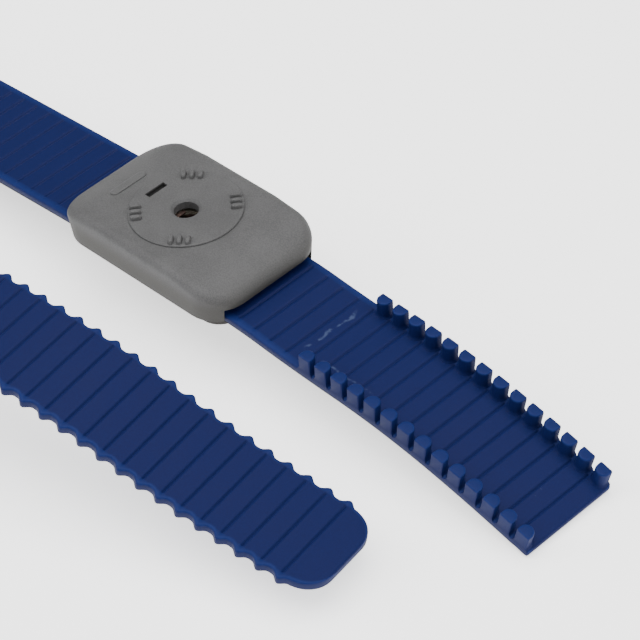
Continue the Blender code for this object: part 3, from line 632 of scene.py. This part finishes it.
def make_cover():
    """The shell, less the band's way through the end walls and the key slot."""
    rings = np.array(cover_rings())
    rings = np.concatenate([rings, rings[:1]])
    rows, columns, _ = rings.shape
    points = rings[:-1].reshape(-1, 3)
    faces = grid_faces(rows, columns) % len(points)
    cover = make_object("Housing_cover", points + SOCKET_FACE_AT, faces.tolist())
    cut(cover, box("way", -22, 22, -BAND_WIDTH / 2 - 0.3, BAND_WIDTH / 2 + 0.3,
                   COVER_FOOT - 1, END_OPENING_TOP))
    x, length, width = KEY_SLOT
    cut(cover, box("slot", x - length / 2, x + length / 2, -width / 2, width / 2,
                   COVER_TOP - COVER_ROOF - 1, 1))
    return cover


# %% [markdown]
# ## The socket face
#
# The raised round face is a turned profile: from the socket's wall out over a chamfer and
# the flat to a softly rounded rim, and back under.  Ribs stand on it in four groups.

# %%
def turned(name, profile, steps=96):
    """A profile of (radius, height) points turned about the socket's axis."""
    profile = np.array(profile, float)
    angle = np.linspace(0, 2 * math.pi, steps, endpoint=False)
    points = np.stack([profile[:, None, 0] * np.cos(angle),
                       profile[:, None, 0] * np.sin(angle),
                       np.repeat(profile[:, 1:2], steps, axis=1)], axis=-1)
    points = points.reshape(-1, 3)
    faces = grid_faces(len(profile) + 1, steps) % len(points)
    return make_object(name, points + SOCKET_FACE_AT, faces.tolist())


def make_face():
    """The raised face with its chamfered socket mouth and the key slot."""
    arc = np.radians(np.linspace(0, 90, 6))
    edge = 0.22
    rim = [(FACE_RADIUS - edge + edge * math.sin(a), -edge + edge * math.cos(a))
           for a in arc]
    chamfer = 0.5
    profile = [(SOCKET_RADIUS, COVER_TOP - COVER_ROOF), (SOCKET_RADIUS, -chamfer),
               (SOCKET_RADIUS + chamfer * 0.85, -0.06),
               (SOCKET_RADIUS + chamfer + 0.05, 0.0), *rim,
               (FACE_RADIUS, COVER_TOP - 0.3), (SOCKET_RADIUS + 1.2, COVER_TOP - 0.3),
               (SOCKET_RADIUS + 1.2, COVER_TOP - COVER_ROOF)]
    face = turned("Socket_face", profile)
    x, length, width = KEY_SLOT
    cut(face, box("slot", x - length / 2, x + length / 2, -width / 2, width / 2,
                  COVER_TOP - COVER_ROOF - 1, 1))
    return face


def make_ribs():
    """Twelve short bars with rounded ends and tops, in one piece."""
    length, width, height = RIB_SIZE
    ends = np.linspace(0, math.pi, 7)
    radius = width / 2
    outline = np.concatenate([
        np.stack([length / 2 - radius + radius * np.sin(ends), radius * np.cos(ends)], -1),
        np.stack([-length / 2 + radius - radius * np.sin(ends), -radius * np.cos(ends)],
                 -1)])
    levels = ((1.1, -0.2), (1.06, 0.03), (1.0, 0.15), (0.96, height - 0.3),
              (0.86, height - 0.12), (0.66, height - 0.02), (0.4, height))
    points, faces = [], []
    count = len(outline)
    for base in (RIB_ANGLE, 180 - RIB_ANGLE, 180 + RIB_ANGLE, -RIB_ANGLE):
        turn = math.radians(base)
        spin = np.array([[math.cos(turn), math.sin(turn)],
                         [-math.sin(turn), math.cos(turn)]])
        for i in (-1, 0, 1):
            first = len(points) * len(levels) * count
            rings = [np.column_stack([outline * scale, np.full(count, z)])
                     for scale, z in levels]
            bar = np.array(rings).reshape(-1, 3)
            bar[:, :2] = (bar[:, :2] + (RIB_RADIUS, i * RIB_PITCH)) @ spin
            points.append(bar)
            faces += grid_faces(len(levels), count, first).tolist()
            faces.append(list(range(first, first + count)))
            top = first + (len(levels) - 1) * count
            faces.append(list(range(top, top + count)))
    return make_object("Face_ribs", np.concatenate(points) + SOCKET_FACE_AT, faces)


MARK_SIZE = (1.9, 7.6)
MARK_AT = (-12.9, -1.4)


def make_mark():
    """A plain raised bar beside the face: a rounded ring at rising, shrinking levels."""
    rings = []
    for inset, z in ((-0.06, -0.25), (0.0, 0.02), (0.05, 0.16), (0.22, 0.24), (0.5, 0.26)):
        ring = rounded_ring(MARK_SIZE[0] / 2 - inset, MARK_SIZE[1] / 2 - inset,
                            MARK_SIZE[0] / 2 - inset - 0.01)
        ring = ring + MARK_AT
        rings.append(np.column_stack([ring, COVER_TOP - crown_drop(ring[:, 0]) + z]))
    count = len(rings[0])
    faces = grid_faces(len(rings), count).tolist()
    faces.append(list(range(count)))
    faces.append(list(range((len(rings) - 1) * count, len(rings) * count)))
    return make_object("Cover_mark", np.concatenate(rings) + SOCKET_FACE_AT, faces)


cover = make_cover()
face = make_face()
ribs = make_ribs()
mark = make_mark()
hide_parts("housing_cover")
for piece in (cover, face, ribs, mark):
    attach(piece, "housing")
    print(f"{piece.name}: {len(piece.data.polygons)} faces")

# %% [markdown]
# ## Shader graphs as arithmetic
#
# A `Value` wraps an output socket and takes ordinary arithmetic, so a pattern reads like
# a formula.  One method makes every node.

# %%
class Value:
    """An output socket that can be added, multiplied and so on."""

    def __init__(self, graph, socket):
        self.graph = graph
        self.socket = socket

    def __add__(self, other):
        return self.graph.maths('ADD', self, other)

    def __sub__(self, other):
        return self.graph.maths('SUBTRACT', self, other)

    def __rsub__(self, other):
        return self.graph.maths('SUBTRACT', other, self)

    def __mul__(self, other):
        return self.graph.maths('MULTIPLY', self, other)

    __radd__ = __add__
    __rmul__ = __mul__

    def step(self, low, high):
        """0 below low, 1 above high, smooth between."""
        return self.graph.node('ShaderNodeMapRange', {
            'Value': self, 'From Min': low, 'From Max': high, 'To Min': 0.0,
            'To Max': 1.0}, interpolation_type='SMOOTHSTEP')


class Graph:
    """One material and the nodes that feed its Principled shader."""

    def __init__(self, name):
        self.material = bpy.data.materials.new(name)
        self.material.use_nodes = True
        self.tree = self.material.node_tree
        self.shader = self.tree.nodes["Principled BSDF"]

    def node(self, kind, inputs, output=0, **settings):
        """A node with its settings and inputs, given back as one of its outputs."""
        made = self.tree.nodes.new(kind)
        for key, value in settings.items():
            setattr(made, key, value)
        for key, value in inputs.items():
            self.feed(made.inputs[key], value)
        return Value(self, made.outputs[output])

    def feed(self, socket, value):
        """Link a Value to an input, or set a constant on it."""
        if isinstance(value, Value):
            self.tree.links.new(value.socket, socket)
        else:
            socket.default_value = value

    def maths(self, operation, *values):
        """A Math node over its inputs in order."""
        return self.node('ShaderNodeMath', dict(enumerate(values)), operation=operation)

    def place(self, scale=(1.0, 1.0, 1.0)):
        """Object coordinates, stretched."""
        raw = self.node('ShaderNodeTexCoord', {}, output='Object')
        return self.node('ShaderNodeVectorMath', {0: raw, 1: scale},
                         operation='MULTIPLY')

    def noise(self, size, detail=2.0, scale=(1.0, 1.0, 1.0), rough=0.5):
        """Noise whose features are about size millimetres across."""
        return self.node('ShaderNodeTexNoise', {
            'Vector': self.place(scale), 'Scale': 1.0 / (size * MM), 'Detail': detail,
            'Roughness': rough})

    def stored(self, name):
        """A value stored on the piece's points."""
        return self.node('ShaderNodeAttribute', {}, output='Fac', attribute_name=name)

    def blend(self, amount, low, high):
        """The colour low where amount is 0, and high where it is 1."""
        made = self.tree.nodes.new('ShaderNodeMix')
        made.data_type = 'RGBA'
        self.feed(made.inputs[0], amount)
        for index, colour in ((6, low), (7, high)):
            self.feed(made.inputs[index],
                      colour if isinstance(colour, Value) else (*colour, 1.0))
        return Value(self, made.outputs[2])

    def bump(self, height, strength, distance_mm):
        """A bumped normal for a height."""
        return self.node('ShaderNodeBump', {'Height': height, 'Strength': strength,
                                            'Distance': distance_mm * MM})

    def finish(self, colour, roughness, normal=None, **constants):
        """Feed the shader."""
        self.feed(self.shader.inputs['Base Color'], colour)
        self.feed(self.shader.inputs['Roughness'], roughness)
        if normal is not None:
            self.feed(self.shader.inputs['Normal'], normal)
        for key, value in constants.items():
            self.feed(self.shader.inputs[key.replace('_', ' ')], value)
        return self.material


# %% [markdown]
# ## Materials
#
# - The blue moulding is satin and a little cloudy, with a painted highlight along its top
#   edges.
# - The grey moulding is speckled, with painted shade darkening it low on its walls.
# - The liner is matte black with a fine grain.
# - Metal parts are lightly tarnished.

# %%
BLUE_DEEP = (0.0036, 0.0070, 0.047)
BLUE = (0.0050, 0.0094, 0.060)
# Colour of the painted highlight along the top edges of the band and the posts.
BLUE_EDGE_HIGHLIGHT = (0.0080, 0.0180, 0.098)
SCUFF = (0.060, 0.085, 0.160)
EJECTORS = (35.4, 39.0)           # along the clasp, on its middle line
END_PAD = (52.0, 62.0, 68.0, 69.0)      # where scratches fade in and out along a band
SCRATCHED = (0.05, 0.07, 0.14)


def window(value, low, high, soft):
    """1 where a value lies between low and high, fading over soft on both sides."""
    return value.step(low - soft, low) * (1.0 - value.step(high, high + soft))


def clasp_scuffs(g):
    """Two faint pale scuffs on the clasp: one across the band, one beside the posts."""
    along = g.stored("along")
    across = g.stored("across")
    side = g.stored("clasp")
    sway = g.noise(3.0, 2.0) - 0.5
    torn = g.noise(0.8, 3.0).step(0.40, 0.62)
    first = window(along + 2.6 * sway, 15.9, 16.2, 0.3) * window(across, -5.2, 5.0, 1.5)
    second = window(across + 1.2 * sway, -5.75, -5.6, 0.2) * window(along, 21.0, 30.0, 1.5)
    return (first + 0.9 * second) * torn * side * 0.5


def ejector_marks(g):
    """Two faint round marks where the mould's pins pushed the clasp out."""
    along = g.stored("along")
    across = g.stored("across")
    marks = 0.0
    for place in EJECTORS:
        x = along - place
        reach = g.maths('SQRT', x * x + across * across)
        marks = window(reach, 0.42, 0.62, 0.12) + marks
    return marks * g.stored("clasp") * 0.5


def blue_moulding():
    """Cloudy blue, paler with a painted highlight where wear is stored, with a fine satin
    grain.
    """
    g = Graph("Blue moulding")
    cloud = g.noise(6.0, 3.0)
    grain = g.noise(0.25, 2.0)
    lines = g.noise(0.9, 2.0, scale=(0.06, 1.0, 1.0))
    # Painted highlight along the top edges, made uneven by noise.
    edge_highlight = g.stored("wear") * (0.45 + 0.5 * g.noise(1.6, 2.0))
    marks = g.noise(0.5, 3.0, scale=(0.25, 1.3, 1.0), rough=0.65).step(0.70, 0.78)
    fade_in, full, fade_out, gone = END_PAD
    along = g.stored("along")
    end_pad = along.step(fade_in, full) * (1.0 - along.step(fade_out, gone))
    colour = g.blend(0.45 * cloud + 0.55 * grain.step(0.3, 0.7), BLUE_DEEP, BLUE)
    colour = g.blend(edge_highlight, colour, BLUE_EDGE_HIGHLIGHT)
    colour = g.blend(marks * end_pad * 0.35, colour, SCRATCHED)
    colour = g.blend(clasp_scuffs(g), colour, SCUFF)
    colour = g.blend(ejector_marks(g), colour, BLUE_DEEP)
    height = grain * 0.6 + lines * 0.4
    rough = 0.46 + 0.14 * cloud + 0.05 * grain
    return g.finish(colour, rough, g.bump(height, 0.25, 0.06), Specular_IOR_Level=0.09)


def grey_moulding(name, dark, light, roughness):
    """A speckled grey with a fine even grain, and painted shade darkening it low on its
    walls.
    """
    g = Graph(name)
    speckle = g.noise(0.22, 3.0, rough=0.7)
    cloud = g.noise(7.0, 2.0)
    colour = g.blend((0.75 * speckle + 0.25 * cloud).step(0.36, 0.64), dark, light)
    # Painted shade: below a given height on the walls, the colour darkens towards a shade
    # tone.
    height = g.node('ShaderNodeSeparateXYZ', {'Vector': g.place()}, output='Z')
    low = 1.0 - height.step(WALL_SHADE_FROM * MM, WALL_SHADE_TO * MM)
    colour = g.blend(low * (0.7 + 0.3 * cloud), colour, WALL_SHADE)
    return g.finish(colour, roughness + 0.08 * speckle, g.bump(speckle, 0.5, 0.07),
                    Specular_IOR_Level=0.25)


def black_liner():
    """Matte black with a fine grain."""
    g = Graph("Black liner")
    grain = g.noise(0.3, 3.0)
    return g.finish(g.blend(grain, (0.004, 0.004, 0.005), (0.009, 0.009, 0.010)),
                    0.65 + 0.15 * grain, g.bump(grain, 0.3, 0.05),
                    Specular_IOR_Level=0.12)


# The tone of the painted shade low on the grey walls, and the heights over which it fades
# in.
WALL_SHADE = (0.036, 0.034, 0.030)
WALL_SHADE_FROM = SOCKET_FACE_AT[2] - 5.5
WALL_SHADE_TO = SOCKET_FACE_AT[2] - 1.4


def ivory_insulator():
    """Slightly uneven ivory."""
    g = Graph("Ivory insulator")
    cloud = g.noise(2.0, 2.0)
    return g.finish(g.blend(cloud, (0.30, 0.27, 0.21), (0.42, 0.39, 0.32)),
                    0.5 + 0.1 * cloud)


def tarnished(name, clean, dull, roughness):
    """Metal whose colour and gloss vary with its tarnish."""
    g = Graph(name)
    cloud = g.noise(1.2, 3.0)
    return g.finish(g.blend(cloud.step(0.35, 0.7), clean, dull), roughness + 0.15 * cloud,
                    Metallic=1.0)


MATERIALS = {
    "cover": grey_moulding("Grey moulding", (0.056, 0.0557, 0.0563), (0.084, 0.0835, 0.0843),
                           0.55),
    "base": grey_moulding("Dark grey moulding", (0.030, 0.029, 0.028),
                          (0.042, 0.040, 0.039), 0.6),
    "barrel": ivory_insulator(),
    "band": blue_moulding(),
    "liner": black_liner(),
    "contact": tarnished("Copper contact", (0.26, 0.17, 0.14), (0.12, 0.085, 0.075), 0.35),
    "rivet": tarnished("Plated rivet", (0.70, 0.68, 0.64), (0.45, 0.43, 0.40), 0.25),
}

for piece in band_pieces:
    piece.data.materials.append(MATERIALS["band"])
for piece in liner_pieces:
    piece.data.materials.append(MATERIALS["liner"])
for piece in (cover, face, ribs, mark):
    piece.data.materials.clear()
    piece.data.materials.append(MATERIALS["cover"])

slots = {entry["node"]: entry["material_slot"] for entry in frame["record"]["subparts"]}
for name, node in frame["nodes"].items():
    if not node.hide_render:
        node.data.materials.clear()
        node.data.materials.append(MATERIALS[slots[name]])

# %% [markdown]
# ## Bench, light and camera
#
# The bench is a broad pale floor that glows a little, which lifts it towards white and
# softens the shadows.  Three large soft lights stand over it: one overhead, one at the
# front left and one at the right.

# %%
BENCH_GLOW = 1.3


def bench():
    """A broad pale floor just under the strap, which glows a little."""
    half = 3000.0
    corners = [(-half, -half, 0), (half, -half, 0), (half, half, 0), (-half, half, 0)]
    floor = make_object("Bench", corners, [(0, 1, 2, 3)])
    floor.location.z = -0.0003
    g = Graph("Pale bench")
    cloud = g.noise(400.0, 2.0)
    floor.data.materials.append(g.finish(
        g.blend(cloud, (0.92, 0.92, 0.92), (0.94, 0.94, 0.94)), 0.9,
        Emission_Color=(1.0, 1.0, 1.0, 1.0), Emission_Strength=BENCH_GLOW))


def soft_light(name, place, size, power):
    """A square area light that looks at the strap."""
    lamp = bpy.data.lights.new(name, 'AREA')
    lamp.shape = 'SQUARE'
    lamp.size = size
    lamp.energy = power
    thing = bpy.data.objects.new(name, lamp)
    bpy.context.scene.collection.objects.link(thing)
    thing.location = place
    away = np.array(place) / np.linalg.norm(place)
    side = np.cross((0.0, 1.0, 0.001), away)
    side = side / np.linalg.norm(side)
    up = np.cross(away, side)
    basis = np.eye(4)
    basis[:3, 0], basis[:3, 1], basis[:3, 2], basis[:3, 3] = side, up, away, place
    thing.matrix_world = Matrix(basis.tolist())


bench()
soft_light("Overhead", (0.05, 0.00, 1.20), 1.4, 27.0)
soft_light("Front_left", (-0.70, -0.80, 0.80), 0.9, 10.0)
soft_light("Right", (1.00, 0.20, 0.70), 0.8, 7.0)

world = bpy.data.worlds.new("Studio")
world.use_nodes = True
world.node_tree.nodes["Background"].inputs["Color"].default_value = (1, 1, 1, 1)
world.node_tree.nodes["Background"].inputs["Strength"].default_value = 0.34
bpy.context.scene.world = world

# The camera looks down along the strap from beyond its posts.
camera_data = bpy.data.cameras.new("Camera")
camera_data.lens = 171.5
camera_data.sensor_width = 36.0
camera_data.clip_end = 20.0
camera = bpy.data.objects.new("Camera", camera_data)
bpy.context.scene.collection.objects.link(camera)
CAMERA_FROM_FACE = np.array([307.9, -235.7, 317.6])
RIGHT = np.array([0.7000, 0.7094, -0.0828])
BACK = np.array([0.5686, -0.4833, 0.6656])
BACK = BACK / np.linalg.norm(BACK)
UP = np.cross(BACK, RIGHT)
UP = UP / np.linalg.norm(UP)
RIGHT = np.cross(UP, BACK)
stand = np.eye(4)
stand[:3, 0], stand[:3, 1], stand[:3, 2] = RIGHT, UP, BACK
stand[:3, 3] = (CAMERA_FROM_FACE + SOCKET_FACE_AT) * MM
camera.matrix_world = Matrix(stand.tolist())
bpy.context.scene.camera = camera

# %% [markdown]
# ## Sizes of the frame and of the finished strap

# %%
print("pieces:", len(band_pieces) + len(liner_pieces) + 4)
